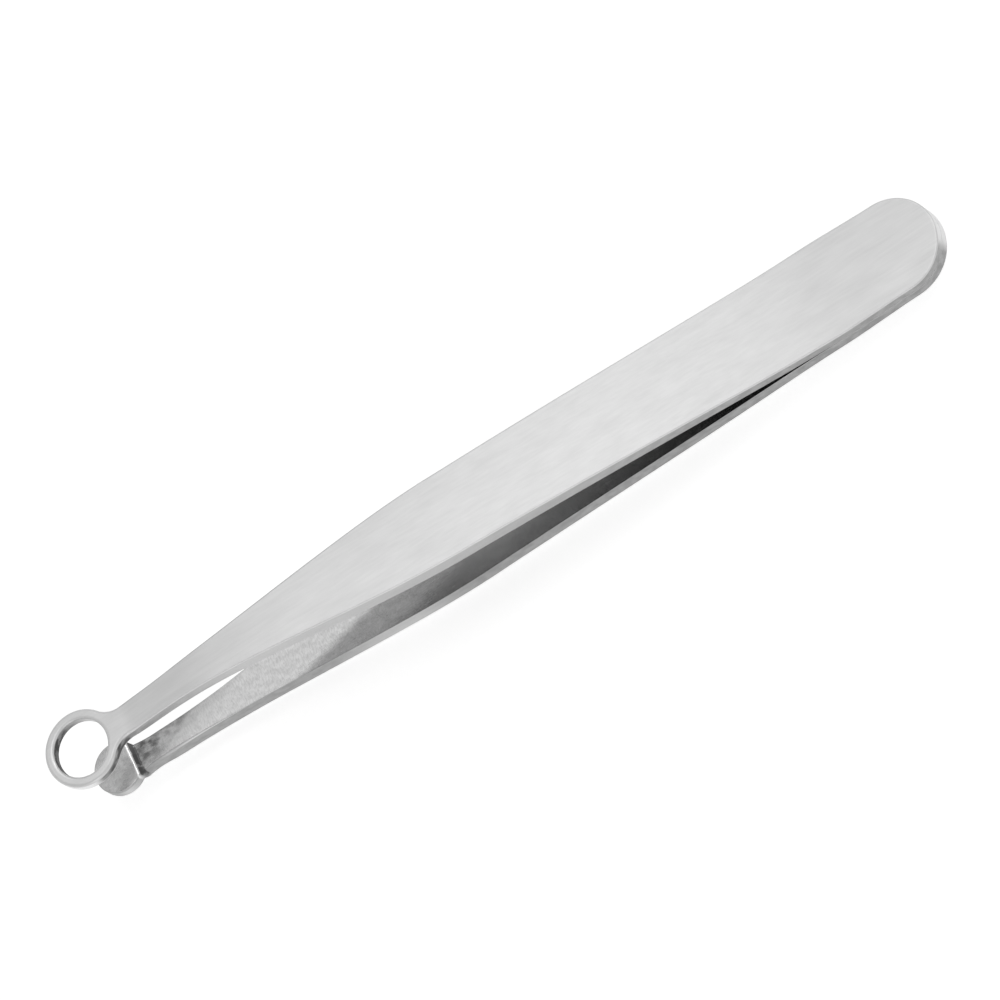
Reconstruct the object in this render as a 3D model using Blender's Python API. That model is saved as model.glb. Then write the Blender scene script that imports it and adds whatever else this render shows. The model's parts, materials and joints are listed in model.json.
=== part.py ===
"""Nose hair trimmer: two sprung steel arms welded together at the tail.

The ring arm ends in a ring. The cutter arm steps up to a small disc, which closes into the ring's hole when
the arms are squeezed. Lengths are in metres and +Z is up. The trimmer lies on its cutter arm.
Run it with Blender 4.5, as blender --background --python part.py or from the Text Editor.
"""

import math

import bmesh
import bpy
from mathutils import Matrix, Vector

MM = 0.001
ALONG = (1.0, 0.0, 0.0)

# Places along the arms, measured from the tail
OVERALL_LENGTH = 95.0 * MM
WELD_LENGTH = 15.5 * MM
FLEX_PLACE = 28.0 * MM
WIDEST_PLACE = 12.0 * MM
SHOULDER_PLACE = 50.0 * MM
RING_ARM_THICKEST_PLACE = 54.0 * MM
CUTTER_ARM_THICKEST_PLACE = 32.0 * MM

# From each arm's neck to the far end of the ring
RING_NECK_TO_END = 10.6 * MM
CUTTER_NECK_TO_END = 10.0 * MM

# Widths across the arms
TAIL_WIDTH = 9.1 * MM
WIDEST_WIDTH = 9.4 * MM
SHOULDER_WIDTH = 8.1 * MM
RING_NECK_WIDTH = 2.9 * MM
CUTTER_NECK_WIDTH = 2.65 * MM

# The ring, and the disc that enters its hole
RING_HOLE_DIAMETER = 5.4 * MM
RING_BAND = 0.96 * MM
RING_FILLET = 2.6 * MM
RING_ROOT_LENGTH = 1.6 * MM
DISC_CLEARANCE = 0.25 * MM

# The step between the cutter arm and its disc
STEP_WIDTH = 2.9 * MM
STEP_HEIGHT = 0.6 * MM
STEP_RUN = 0.5 * MM
STEP_FLARE_LENGTH = 2.4 * MM

# How far each arm's inner face stands off the seam at its widest opening
RING_ARM_RISE = 3.9 * MM
CUTTER_ARM_RISE = 3.44 * MM

# Sheet thickness, ground thinner towards the weld and the tips
RING_ARM_TAIL_THICKNESS = 1.0 * MM
RING_ARM_THICKNESS = 1.7 * MM
RING_NECK_THICKNESS = 1.3 * MM
RING_THICKNESS = 1.25 * MM
CUTTER_ARM_TAIL_THICKNESS = 1.3 * MM
CUTTER_ARM_THICKNESS = 1.75 * MM
CUTTER_NECK_THICKNESS = 1.85 * MM
STEP_BASE_THICKNESS = 1.5 * MM
DISC_THICKNESS = 1.15 * MM

# Tumbled edges, and the hairline gaps that keep the solids apart
EDGE_ROUND = 0.15 * MM
SEAM_GAP = 0.04 * MM
FLEX_GAP = 0.1 * MM
MERGE_DISTANCE = 0.0005 * MM

# Each arm's inner face: shares of the way from the weld to the tip, and of the arm's rise
RING_ARM_SHARES = ((0.0, 0.0), (0.063, 0.085), (0.4, 0.56), (0.624, 0.795), (0.87, 1.0), (1.0, 0.815))
CUTTER_ARM_SHARES = (
    (0.0, 0.0), (0.061, 0.07), (0.387, 0.413), (0.604, 0.664), (0.794, 0.929), (0.9, 1.0), (1.0, 0.99)
)

# How finely curves are divided
TAIL_STEPS = 10
SWELL_STEPS = 4
TAPER_STEPS = 14
FILLET_STEPS = 5
TIP_STEPS = 18
HOLE_STEPS = 40
BEND_STEPS = 20
STEP_STEPS = 6
EDGE_RINGS = 1

STEEL_COLOUR = (0.72, 0.72, 0.71, 1.0)
STEEL_ROUGHNESS = 0.34
SHARP_ANGLE = math.radians(30)

# Sizes that follow from the ones above
HOLE_RADIUS = RING_HOLE_DIAMETER / 2
RING_RADIUS = HOLE_RADIUS + RING_BAND
DISC_RADIUS = HOLE_RADIUS - DISC_CLEARANCE
TIP_CENTRE = OVERALL_LENGTH - RING_RADIUS
TAIL_RADIUS = TAIL_WIDTH / 2
RING_NECK_PLACE = OVERALL_LENGTH - RING_NECK_TO_END
CUTTER_NECK_PLACE = OVERALL_LENGTH - CUTTER_NECK_TO_END
RING_ROOT_PLACE = TIP_CENTRE - RING_RADIUS - RING_ROOT_LENGTH
STEP_PLACE = TIP_CENTRE - math.sqrt(DISC_RADIUS**2 - (STEP_WIDTH / 2) ** 2)
CREST_PLACE = STEP_PLACE + STEP_RUN


def ease(share):
    """A smooth start and stop: 0 at 0 and 1 at 1."""
    return share * share * (3 - 2 * share)


def between(low, high, x):
    """How far x is from low to high, kept from 0 to 1."""
    return min(max((x - low) / (high - low), 0.0), 1.0)


def spread(start, end, steps):
    """Evenly spaced places from start to end."""
    return [start + (end - start) * i / steps for i in range(steps + 1)]


def smooth_through(points, x):
    """The height at x of a curve through the points, level where they turn and never past them."""
    slopes = [(b[1] - a[1]) / (b[0] - a[0]) for a, b in zip(points, points[1:])]
    tangents = [slopes[0]]
    for before, after in zip(slopes, slopes[1:]):
        turns = before * after <= 0
        tangents.append(0.0 if turns else 2 * before * after / (before + after))
    tangents.append(slopes[-1])
    i = max(n for n in range(len(slopes)) if n == 0 or points[n][0] <= x)
    start, end = points[i], points[i + 1]
    run = end[0] - start[0]
    t = between(start[0], end[0], x)
    bulge = (t * (1 - t) ** 2 * tangents[i] - t * t * (1 - t) * tangents[i + 1]) * run
    return start[1] + (end[1] - start[1]) * ease(t) + bulge


def arc(centre, radius, start, end, steps):
    """Points of an arc in the XY plane, in order from the start angle to the end angle."""
    angles = spread(start, end, steps)
    return [(centre[0] + radius * math.cos(a), centre[1] + radius * math.sin(a)) for a in angles]


def eased_side(start, end, steps):
    """Points from start to end that leave and arrive level."""
    places = spread(start[0], end[0], steps)
    return [(x, start[1] + (end[1] - start[1]) * ease(between(start[0], end[0], x))) for x in places]


def arm_side(neck_place, neck_width):
    """One side of an arm's outline, from the tail's middle to the neck."""
    side = arc((TAIL_RADIUS, 0.0), TAIL_RADIUS, math.pi, math.pi / 2, TAIL_STEPS)
    side += eased_side((TAIL_RADIUS, TAIL_RADIUS), (WIDEST_PLACE, WIDEST_WIDTH / 2), SWELL_STEPS)[1:]
    side += eased_side((SHOULDER_PLACE, SHOULDER_WIDTH / 2), (neck_place, neck_width / 2), TAPER_STEPS)
    return side


def ring_arm_side():
    """One side of the ring arm's outline: the neck runs through a fillet into the ring."""
    reach = RING_RADIUS + RING_FILLET
    rise = RING_NECK_WIDTH / 2 + RING_FILLET
    run = math.sqrt(reach**2 - rise**2)
    turn = math.atan2(rise, run)
    side = arm_side(RING_NECK_PLACE, RING_NECK_WIDTH)
    side += arc((TIP_CENTRE - run, rise), RING_FILLET, -math.pi / 2, -turn, FILLET_STEPS)
    side += arc((TIP_CENTRE, 0.0), RING_RADIUS, math.pi - turn, 0.0, TIP_STEPS)[1:]
    return side


def cutter_arm_side():
    """One side of the cutter arm's outline: the neck flares to the step and meets the disc."""
    side = arm_side(CUTTER_NECK_PLACE, CUTTER_NECK_WIDTH)
    flare_start = STEP_PLACE - STEP_FLARE_LENGTH
    for x in spread(flare_start, STEP_PLACE, FILLET_STEPS)[1:]:
        flare = between(flare_start, STEP_PLACE, x) ** 3
        side.append((x, (CUTTER_NECK_WIDTH + (STEP_WIDTH - CUTTER_NECK_WIDTH) * flare) / 2))
    start = math.pi - math.asin(STEP_WIDTH / 2 / DISC_RADIUS)
    side += arc((TIP_CENTRE, 0.0), DISC_RADIUS, start, 0.0, TIP_STEPS)[1:]
    return side


def ring_arm_faces(x):
    """Distances of the ring arm's inner and outer faces from the seam, at a place along the arm."""
    height = RING_ARM_RISE * smooth_through(RING_ARM_SHARES, between(WELD_LENGTH, RING_ROOT_PLACE, x))
    thickness = RING_ARM_TAIL_THICKNESS
    thickness += (RING_ARM_THICKNESS - thickness) * ease(between(0.0, RING_ARM_THICKEST_PLACE, x))
    neck_share = ease(between(RING_ARM_THICKEST_PLACE, RING_ROOT_PLACE, x))
    thickness += (RING_NECK_THICKNESS - thickness) * neck_share
    outer = SEAM_GAP / 2 + height + thickness
    thickness += (RING_THICKNESS - thickness) * ease(between(RING_ROOT_PLACE, TIP_CENTRE - HOLE_RADIUS, x))
    return outer - thickness, outer


def cutter_arm_faces(x):
    """Distances of the cutter arm's inner and outer faces from the seam, at a place along the arm."""
    height = CUTTER_ARM_RISE * smooth_through(CUTTER_ARM_SHARES, between(WELD_LENGTH, STEP_PLACE, x))
    thickness = CUTTER_ARM_TAIL_THICKNESS
    thickness += (CUTTER_ARM_THICKNESS - thickness) * ease(between(0.0, CUTTER_ARM_THICKEST_PLACE, x))
    neck_share = ease(between(CUTTER_ARM_THICKEST_PLACE, CUTTER_NECK_PLACE, x))
    thickness += (CUTTER_NECK_THICKNESS - thickness) * neck_share
    thickness += (STEP_BASE_THICKNESS - thickness) * ease(between(CUTTER_NECK_PLACE, STEP_PLACE, x))
    step_share = ease(between(STEP_PLACE, CREST_PLACE, x))
    inner = SEAM_GAP / 2 + height - STEP_HEIGHT * step_share
    return inner, inner + thickness + (DISC_THICKNESS - thickness) * step_share


def flat_blank(side, hole_radius):
    """A flat strip with rounded edges: one side of its outline, mirrored, and any hole in its tip."""
    outlines = [side + [(x, -y) for x, y in reversed(side[1:-1])]]
    if hole_radius:
        outlines.append(arc((TIP_CENTRE, 0.0), hole_radius, 0.0, 2 * math.pi, HOLE_STEPS)[:-1])
    curve = bpy.data.curves.new("blank", "CURVE")
    curve.dimensions = "2D"
    curve.fill_mode = "BOTH"
    curve.extrude = EDGE_ROUND
    curve.bevel_depth = EDGE_ROUND
    curve.offset = -EDGE_ROUND
    curve.bevel_resolution = EDGE_RINGS
    for outline in outlines:
        spline = curve.splines.new("POLY")
        spline.points.add(len(outline) - 1)
        spline.use_cyclic_u = True
        for point, (x, y) in zip(spline.points, outline):
            point.co = (x, y, 0.0, 1.0)
    holder = bpy.data.objects.new("blank", curve)
    bpy.context.scene.collection.objects.link(holder)
    mesh = bpy.data.meshes.new_from_object(holder.evaluated_get(bpy.context.evaluated_depsgraph_get()))
    blank = bmesh.new()
    blank.from_mesh(mesh)
    bmesh.ops.remove_doubles(blank, verts=blank.verts[:], dist=MERGE_DISTANCE)
    bpy.data.objects.remove(holder)
    bpy.data.curves.remove(curve)
    bpy.data.meshes.remove(mesh)
    return blank


def bend(strip, stations, faces_at, up):
    """Moves the flat strip's faces to their places, straight between the stations."""
    for x in stations:
        geometry = strip.verts[:] + strip.edges[:] + strip.faces[:]
        bmesh.ops.bisect_plane(strip, geom=geometry, dist=MERGE_DISTANCE, plane_co=(x, 0, 0), plane_no=ALONG)
    half_thickness = max(vert.co.z for vert in strip.verts)
    faces = [faces_at(x) for x in stations]
    for vert in strip.verts:
        i = max(n for n in range(len(stations) - 1) if n == 0 or stations[n] <= vert.co.x)
        share = between(stations[i], stations[i + 1], vert.co.x)
        inner, outer = (a + (b - a) * share for a, b in zip(faces[i], faces[i + 1]))
        depth = half_thickness - abs(vert.co.z)
        height = outer - depth if vert.co.z > 0 else inner + depth
        vert.co.z = height if up else -height
    if not up:
        bmesh.ops.reverse_faces(strip, faces=strip.faces[:])


def cut_at_flex(strip, beyond):
    """A copy of the strip on one side of the flex gap, with the cut closed."""
    piece = strip.copy()
    edge = FLEX_PLACE + FLEX_GAP / 2 if beyond else FLEX_PLACE - FLEX_GAP / 2
    geometry = piece.verts[:] + piece.edges[:] + piece.faces[:]
    cut = bmesh.ops.bisect_plane(piece, geom=geometry, dist=MERGE_DISTANCE, plane_co=(edge, 0, 0),
                                 plane_no=ALONG, clear_outer=not beyond, clear_inner=beyond)
    rim = [part for part in cut["geom_cut"] if isinstance(part, bmesh.types.BMEdge)]
    bmesh.ops.contextual_create(piece, geom=rim)
    bmesh.ops.recalc_face_normals(piece, faces=piece.faces[:])
    return piece


def steel():
    """Satin stainless steel."""
    material = bpy.data.materials.new("satin_steel")
    material.use_nodes = True
    shader = material.node_tree.nodes["Principled BSDF"]
    shader.inputs["Base Color"].default_value = STEEL_COLOUR
    shader.inputs["Metallic"].default_value = 1.0
    shader.inputs["Roughness"].default_value = STEEL_ROUGHNESS
    return material


def add_part(name, piece, origin, material, cradle, collection):
    """Makes a piece an object with its origin at the given place in the cradle."""
    piece.transform(Matrix.Translation(-origin))
    mesh = bpy.data.meshes.new(name)
    piece.to_mesh(mesh)
    piece.free()
    mesh.materials.append(material)
    mesh.shade_smooth()
    mesh.set_sharp_from_angle(angle=SHARP_ANGLE)
    part = bpy.data.objects.new(name, mesh)
    part.location = origin
    part.parent = cradle
    collection.objects.link(part)


def lay_down(cradle, parts):
    """Tilts and lifts the cradle: the trimmer lies on its tail and cutter arm, centred over the origin."""
    tail_depth = cutter_arm_faces(0.0)[1]
    places = spread(WELD_LENGTH, STEP_PLACE, BEND_STEPS)
    cradle.rotation_euler.y = -max(math.atan2(cutter_arm_faces(x)[1] - tail_depth, x) for x in places)
    bpy.context.view_layer.update()
    corners = [part.matrix_world @ vert.co for part in parts for vert in part.data.vertices]
    cradle.location.x = -(min(c.x for c in corners) + max(c.x for c in corners)) / 2
    cradle.location.z = -min(c.z for c in corners)


def main():
    for thing in list(bpy.data.objects):
        bpy.data.objects.remove(thing)
    collection = bpy.data.collections.new("nose_hair_trimmer")
    bpy.context.scene.collection.children.link(collection)
    cradle = bpy.data.objects.new("cradle", None)
    collection.objects.link(cradle)
    material = steel()

    ring_stations = [0.0] + spread(WELD_LENGTH, RING_ROOT_PLACE, BEND_STEPS)
    ring_stations += spread(RING_ROOT_PLACE, TIP_CENTRE - HOLE_RADIUS, STEP_STEPS)[1:] + [TIP_CENTRE]
    cutter_stations = [0.0] + spread(WELD_LENGTH, STEP_PLACE, BEND_STEPS)
    cutter_stations += spread(STEP_PLACE, CREST_PLACE, STEP_STEPS)[1:]

    arms = (
        ("ring_arm", ring_arm_side(), HOLE_RADIUS, ring_arm_faces, ring_stations, True),
        ("cutter_arm", cutter_arm_side(), 0.0, cutter_arm_faces, cutter_stations, False),
    )
    for name, side, hole_radius, faces_at, stations, up in arms:
        strip = flat_blank(side, hole_radius)
        bend(strip, stations, faces_at, up)
        middle = sum(faces_at(FLEX_PLACE)) / 2
        pivot = Vector((FLEX_PLACE, 0.0, middle if up else -middle))
        add_part(name + "_root", cut_at_flex(strip, beyond=False), Vector(), material, cradle, collection)
        add_part(name, cut_at_flex(strip, beyond=True), pivot, material, cradle, collection)
        strip.free()
    lay_down(cradle, [thing for thing in collection.objects if thing.type == "MESH"])


main()
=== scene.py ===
# %% [markdown]
# # Nose hair trimmer in satin steel
# The real tool is two stamped spring-steel arms, welded together at the rounded tail and splayed towards the
# tips. The upper arm ends in a ring. The lower arm steps up to a small disc, which closes into the ring when
# the arms are squeezed. This lesson dresses the plain CAD solids of that tool for a photograph: smooth edges,
# a satin metal, soft light and a camera.

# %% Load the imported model
import json
import math

import bmesh
import bpy
from mathutils import Matrix, Vector
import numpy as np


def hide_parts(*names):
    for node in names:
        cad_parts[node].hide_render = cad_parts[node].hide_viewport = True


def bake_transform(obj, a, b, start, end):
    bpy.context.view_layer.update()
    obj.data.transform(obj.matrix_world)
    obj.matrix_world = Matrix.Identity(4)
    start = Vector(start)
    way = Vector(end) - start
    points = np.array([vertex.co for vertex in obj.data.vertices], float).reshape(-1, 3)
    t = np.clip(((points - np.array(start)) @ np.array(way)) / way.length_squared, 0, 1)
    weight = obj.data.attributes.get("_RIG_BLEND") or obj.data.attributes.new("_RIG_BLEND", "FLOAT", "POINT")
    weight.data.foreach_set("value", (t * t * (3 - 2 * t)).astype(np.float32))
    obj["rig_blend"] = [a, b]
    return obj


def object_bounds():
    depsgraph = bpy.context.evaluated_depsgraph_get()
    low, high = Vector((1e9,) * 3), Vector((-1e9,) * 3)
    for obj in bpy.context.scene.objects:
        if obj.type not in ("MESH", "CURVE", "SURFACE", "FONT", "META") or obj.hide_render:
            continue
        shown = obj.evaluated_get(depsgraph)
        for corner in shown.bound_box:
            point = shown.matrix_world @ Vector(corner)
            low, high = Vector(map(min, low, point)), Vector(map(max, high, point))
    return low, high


MM = 0.001
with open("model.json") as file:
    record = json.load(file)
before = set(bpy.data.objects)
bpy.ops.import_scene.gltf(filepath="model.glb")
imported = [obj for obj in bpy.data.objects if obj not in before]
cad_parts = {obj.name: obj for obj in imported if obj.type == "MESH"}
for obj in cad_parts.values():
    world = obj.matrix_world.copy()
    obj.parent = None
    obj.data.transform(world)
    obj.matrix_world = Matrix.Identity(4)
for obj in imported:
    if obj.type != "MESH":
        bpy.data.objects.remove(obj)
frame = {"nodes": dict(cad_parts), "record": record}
cad_box = [list(corner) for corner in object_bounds()]
print("CAD nodes:", sorted(frame["nodes"]))
print("CAD box in mm:", [[round(value / MM, 2) for value in corner] for corner in cad_box])

# %% [markdown]
# ## Sizes
# Every size is written once, in metres, with a name a toolmaker would use. Places along the arms are measured
# from the tail end while the arm is still a flat blank. They are the sizes of the CAD model, so each dressed
# arm fills the space of the solids it stands for.

# %% Sizes of the arms
OVERALL_LENGTH = 95.0 * MM
WELD_LENGTH = 15.5 * MM
WIDEST_PLACE = 12.0 * MM
SHOULDER_PLACE = 50.0 * MM
TAIL_WIDTH = 9.1 * MM
WIDEST_WIDTH = 9.4 * MM
SHOULDER_WIDTH = 8.1 * MM
SEAM_GAP = 0.04 * MM
EDGE_ROUND = 0.15 * MM
SEAM_ROUND = 0.03 * MM
TAIL_RADIUS = TAIL_WIDTH / 2
print("Widest width is", round(WIDEST_WIDTH / OVERALL_LENGTH, 3), "of the length")

# %% Sizes of the ring and its arm
RING_NECK_PLACE = 84.4 * MM
RING_NECK_WIDTH = 2.9 * MM
HOLE_RADIUS = 2.7 * MM
RING_RADIUS = 3.66 * MM
RING_FILLET = 2.6 * MM
RING_ROOT_LENGTH = 1.6 * MM
RING_EDGE_ROUND = 0.3 * MM
RING_ARM_RISE = 3.9 * MM
RING_ARM_THICKEST_PLACE = 54.0 * MM
RING_ARM_THICKNESSES = (1.0 * MM, 1.7 * MM, 1.3 * MM)
RING_THICKNESS = 1.25 * MM
RING_ARM_SHARES = ((0.0, 0.0), (0.063, 0.085), (0.4, 0.56), (0.624, 0.795), (0.87, 1.0), (1.0, 0.815))
TIP_CENTRE = OVERALL_LENGTH - RING_RADIUS
RING_ROOT_PLACE = TIP_CENTRE - RING_RADIUS - RING_ROOT_LENGTH
print("Ring root at", round(RING_ROOT_PLACE / MM, 2), "mm")

# %% Sizes of the disc and its arm
CUTTER_NECK_PLACE = 85.0 * MM
CUTTER_NECK_WIDTH = 2.65 * MM
DISC_RADIUS = 2.45 * MM
DISC_EDGE_ROUND = 0.26 * MM
STEP_WIDTH = 2.9 * MM
STEP_HEIGHT = 0.6 * MM
STEP_RUN = 0.5 * MM
STEP_FLARE_LENGTH = 2.4 * MM
STEP_MARGIN = 0.3 * MM
FOOT_ROUND = 0.1 * MM
CREST_ROUND = 0.16 * MM
CUTTER_ARM_RISE = 3.44 * MM
CUTTER_ARM_THICKEST_PLACE = 32.0 * MM
CUTTER_ARM_THICKNESSES = (1.3 * MM, 1.75 * MM, 1.85 * MM)
STEP_BASE_THICKNESS = 1.5 * MM
DISC_THICKNESS = 1.15 * MM
CUTTER_ARM_SHARES = (
    (0.0, 0.0), (0.061, 0.07), (0.387, 0.413), (0.604, 0.664), (0.794, 0.929), (0.9, 1.0), (1.0, 0.99)
)
STEP_PLACE = TIP_CENTRE - math.sqrt(DISC_RADIUS**2 - (STEP_WIDTH / 2) ** 2)
CREST_PLACE = STEP_PLACE + STEP_RUN
print("Step at", round(STEP_PLACE / MM, 2), "mm")


# %% Small helpers for lengths and curves
def ease(share):
    """A smooth start and stop: 0 at 0 and 1 at 1."""
    return share * share * (3 - 2 * share)


def between(low, high, x):
    """How far x is from low to high, kept from 0 to 1."""
    return min(max((x - low) / (high - low), 0.0), 1.0)


def spread(start, end, steps):
    """Evenly spaced values from start to end."""
    return [start + (end - start) * i / steps for i in range(steps + 1)]


def on_circle(centre_x, radius, angle):
    """A point of a circle that is centred on the arm's middle line."""
    return Vector((centre_x + radius * math.cos(angle), radius * math.sin(angle)))


print("Eased shares:", [round(ease(share), 2) for share in spread(0.0, 1.0, 4)])

# %% [markdown]
# ## The flat blank
# A real arm starts as a flat blank that is cut from a sheet. A mesh blank with good flow is made the same
# way. Two rails run the length of one half: the outer rail is the cut outline, and the inner rail is the
# middle line, which turns off round the hole where there is one. Rows of points are stretched between the
# rails. The other half is a mirror image. A filled outline would be quicker, but it gives long thin triangles
# that catch the light badly on metal.


# %% Width of an arm, and its rails round the tail
def half_width(x, neck_place, neck_width):
    """Half the width of an arm at a place between its tail and its neck."""
    if x < WIDEST_PLACE:
        return (TAIL_WIDTH + (WIDEST_WIDTH - TAIL_WIDTH) * ease(between(TAIL_RADIUS, WIDEST_PLACE, x))) / 2
    if x < SHOULDER_PLACE:
        return (WIDEST_WIDTH + (SHOULDER_WIDTH - WIDEST_WIDTH) * between(WIDEST_PLACE, SHOULDER_PLACE, x)) / 2
    return (SHOULDER_WIDTH + (neck_width - SHOULDER_WIDTH) * ease(between(SHOULDER_PLACE, neck_place, x))) / 2


TAIL_ROWS = 24


def tail_rails():
    """Pairs of outer and inner rail points round the tail's end."""
    rails = []
    for share in spread(0.0, 1.0, TAIL_ROWS):
        outer = on_circle(TAIL_RADIUS, TAIL_RADIUS, math.pi * (1 - share / 2))
        rails.append((outer, Vector((TAIL_RADIUS * (1 + share) / 2, 0.0))))
    return rails


print("Rows round the tail:", len(tail_rails()))

# %% Rails of the ring arm
STRIP_ROWS = 150
FILLET_ROWS = 20
LEAD_ROWS = 6
RING_ROWS = 44


def ring_arm_rails():
    """The ring arm's rails, and the row where the inner rail meets the hole."""
    reach = RING_RADIUS + RING_FILLET
    fillet_y = RING_NECK_WIDTH / 2 + RING_FILLET
    run = math.sqrt(reach**2 - fillet_y**2)
    turn = math.atan2(fillet_y, run)
    fillet_x = TIP_CENTRE - run
    rails = tail_rails()
    for x in spread(TAIL_RADIUS, fillet_x, STRIP_ROWS)[1:]:
        rails.append((Vector((x, half_width(x, RING_NECK_PLACE, RING_NECK_WIDTH))), Vector((x, 0.0))))
    lead_end = TIP_CENTRE - HOLE_RADIUS - RING_EDGE_ROUND
    hole_row = len(rails) + LEAD_ROWS - 1
    for n, share in enumerate(spread(0.0, 1.0, FILLET_ROWS)):
        angle = -math.pi / 2 + (math.pi / 2 - turn) * share
        outer = Vector((fillet_x + RING_FILLET * math.cos(angle), fillet_y + RING_FILLET * math.sin(angle)))
        round_share = (n - LEAD_ROWS) / (FILLET_ROWS - LEAD_ROWS)
        inner = on_circle(TIP_CENTRE, HOLE_RADIUS, math.pi - turn * round_share)
        if n < LEAD_ROWS:
            inner = Vector((fillet_x + (lead_end - fillet_x) * n / LEAD_ROWS, 0.0))
        if n > 0:
            rails.append((outer, inner))
    for angle in spread(math.pi - turn, 0.0, RING_ROWS)[1:]:
        rails.append((on_circle(TIP_CENTRE, RING_RADIUS, angle), on_circle(TIP_CENTRE, HOLE_RADIUS, angle)))
    return rails, hole_row


print("Rows of the ring arm:", len(ring_arm_rails()[0]))

# %% Rails of the cutter arm
DISC_ROWS = 40


def cutter_arm_rails():
    """The cutter arm's rails. It has no hole, so the inner rail stays on the middle line."""
    rails = tail_rails()
    flare_start = STEP_PLACE - STEP_FLARE_LENGTH
    for x in spread(TAIL_RADIUS, STEP_PLACE, STRIP_ROWS)[1:]:
        flare = (STEP_WIDTH - CUTTER_NECK_WIDTH) / 2 * between(flare_start, STEP_PLACE, x) ** 3
        side = half_width(x, CUTTER_NECK_PLACE, CUTTER_NECK_WIDTH) + flare
        rails.append((Vector((x, side)), Vector((x, 0.0))))
    start = math.pi - math.asin(STEP_WIDTH / 2 / DISC_RADIUS)
    inner_end = TIP_CENTRE + DISC_RADIUS / 2
    for share in spread(0.0, 1.0, DISC_ROWS)[1:]:
        inner = Vector((STEP_PLACE + (inner_end - STEP_PLACE) * share, 0.0))
        rails.append((on_circle(TIP_CENTRE, DISC_RADIUS, start * (1 - share)), inner))
    return rails, None


print("Rows of the cutter arm:", len(cutter_arm_rails()[0]))

# %% Stretch rows between the rails
CELLS_ACROSS = 8
ROUND_STEPS = 5
SUPPORT_WIDTH = 0.05 * MM


def rounding(radius):
    """How far each point of a rounded edge lies in from the cut side, and down from the face."""
    angles = spread(0.0, math.pi / 2, ROUND_STEPS)
    return [(radius * (1 - math.sin(a)), radius * (1 - math.cos(a))) for a in angles]


def half_row(outer, normal, inner, hole_normal, radius):
    """The upper points of one row, from the inner rail to the outer, as (x, y, depth below the face)."""
    edge = rounding(radius)
    start = inner - hole_normal * radius
    stop = outer - normal * (radius + SUPPORT_WIDTH)
    row = [(*start.lerp(stop, share), 0.0) for share in spread(0.0, 1.0, CELLS_ACROSS)]
    row += [(*(outer - normal * inset), depth) for inset, depth in edge]
    hole = [(*(inner - hole_normal * inset), depth) for inset, depth in edge[1:]]
    return row, hole


def outline_normals(rails):
    """Outward directions of the outer rail, found from each point's neighbours."""
    points = [outer for outer, inner in rails]
    normals = [Vector((-1.0, 0.0))]
    for before, after in zip(points, points[2:]):
        along = (after - before).normalized()
        normals.append(Vector((-along.y, along.x)))
    return normals + [Vector((1.0, 0.0))]


print("Points across half an arm:", CELLS_ACROSS + ROUND_STEPS + 2)

# %% [markdown]
# ## Painted shade and highlights on the blank
# The real arms are tumbled in a drum of small stones and ground at the tail and the tip. Images could hold
# the marks, but the flat blank is the easiest place to say where each mark lies, because x is still the
# distance from the tail's end. So each point of the blank gets three numbers from 0 to 1, and the satin steel
# reads
# them later. The first is painted shade: round the ring's foot, in the hole, on the cut sides, along the
# seam, on the far upper edge, at the step, on the disc, and faintly on the upper face near the tail. The
# second is a painted highlight on edges, partly where an edge is really ground or rubbed bright. The third is
# painted shade on the inner faces, deep in the gap. The two tables in the next cell say how much painted
# shade a cut side has at the tail and at the neck, where a stretch of it is painted lighter, as (place,
# reach, share), where it is ground and carries a painted highlight, and how brightly.

# %% Marks of the cut side
TAIL_TURN = (-0.96, -0.82)
TAIL_SHINE = 0.55
SIDE_PLACES = (25.0 * MM, 66.0 * MM)
GRIND_RUN = 1.5 * MM
# Painted shade on the cut side from tail to neck, with a stretch painted lighter, and a painted highlight
# where the tip is ground.
RING_SIDE = {
    "tail": 0.5, "neck": 0.16, "wear_and_light": (), "ground": (TIP_CENTRE - 0.8 * MM, OVERALL_LENGTH), "shine": 0.85
}
CUTTER_SIDE = {
    "tail": 0.53, "neck": 0.48, "wear_and_light": ((61.5 * MM, 9.0 * MM, 0.7),), "ground": (CREST_PLACE, TIP_CENTRE),
    "shine": 0.4,
}


def side_finish(outer, normal, side):
    """How much painted shade the cut side has along the arm, and its painted highlight round the tail's end
    and on the ground tip.
    """
    darkening = side["tail"] + (side["neck"] - side["tail"]) * between(*SIDE_PLACES, outer.x)
    for place, reach, share in side["wear_and_light"]:
        darkening *= 1 - share * ease(1 - min(abs(outer.x - place) / reach, 1.0))
    if outer.x < TAIL_RADIUS:
        return darkening, TAIL_SHINE * (1 - ease(between(*TAIL_TURN, normal.x)))
    start, end = side["ground"]
    begun = ease(between(start, start + GRIND_RUN, outer.x))
    over = ease(between(end, end + GRIND_RUN, outer.x))
    return darkening, side["shine"] * begun * (1 - over)


print("Side of the ring arm is ground from", round(RING_SIDE["ground"][0] / MM, 2), "mm to its tip")

# %% Marks of the upper face
TAIL_SHADE = 0.09
TAIL_SHADE_PLACES = (8.0 * MM, 42.0 * MM)
# Painted highlight on the rounded upper edge, across its points.
EDGE_SHINE = (0.1, 0.3, 0.3, 0.1, 0.0, 0.0)
SHINE_PLACES = (50.0 * MM, 72.0 * MM)


def mark_face(layers, over, outer, normal):
    """The upper face a little darker near the tail, as painted shade, and a painted highlight along its edge.
    """
    darkened, bright = layers
    for upper in over:
        upper[darkened] = TAIL_SHADE * (1 - ease(between(*TAIL_SHADE_PLACES, outer.x)))
    held = ease(between(*TAIL_TURN, normal.x)) * (1 - ease(between(*SHINE_PLACES, outer.x)))
    for upper, shine in zip(over[-len(EDGE_SHINE):], EDGE_SHINE):
        upper[bright] = shine * held


print("Edge is bright up to", [round(place / MM, 1) for place in SHINE_PLACES], "mm")

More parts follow.
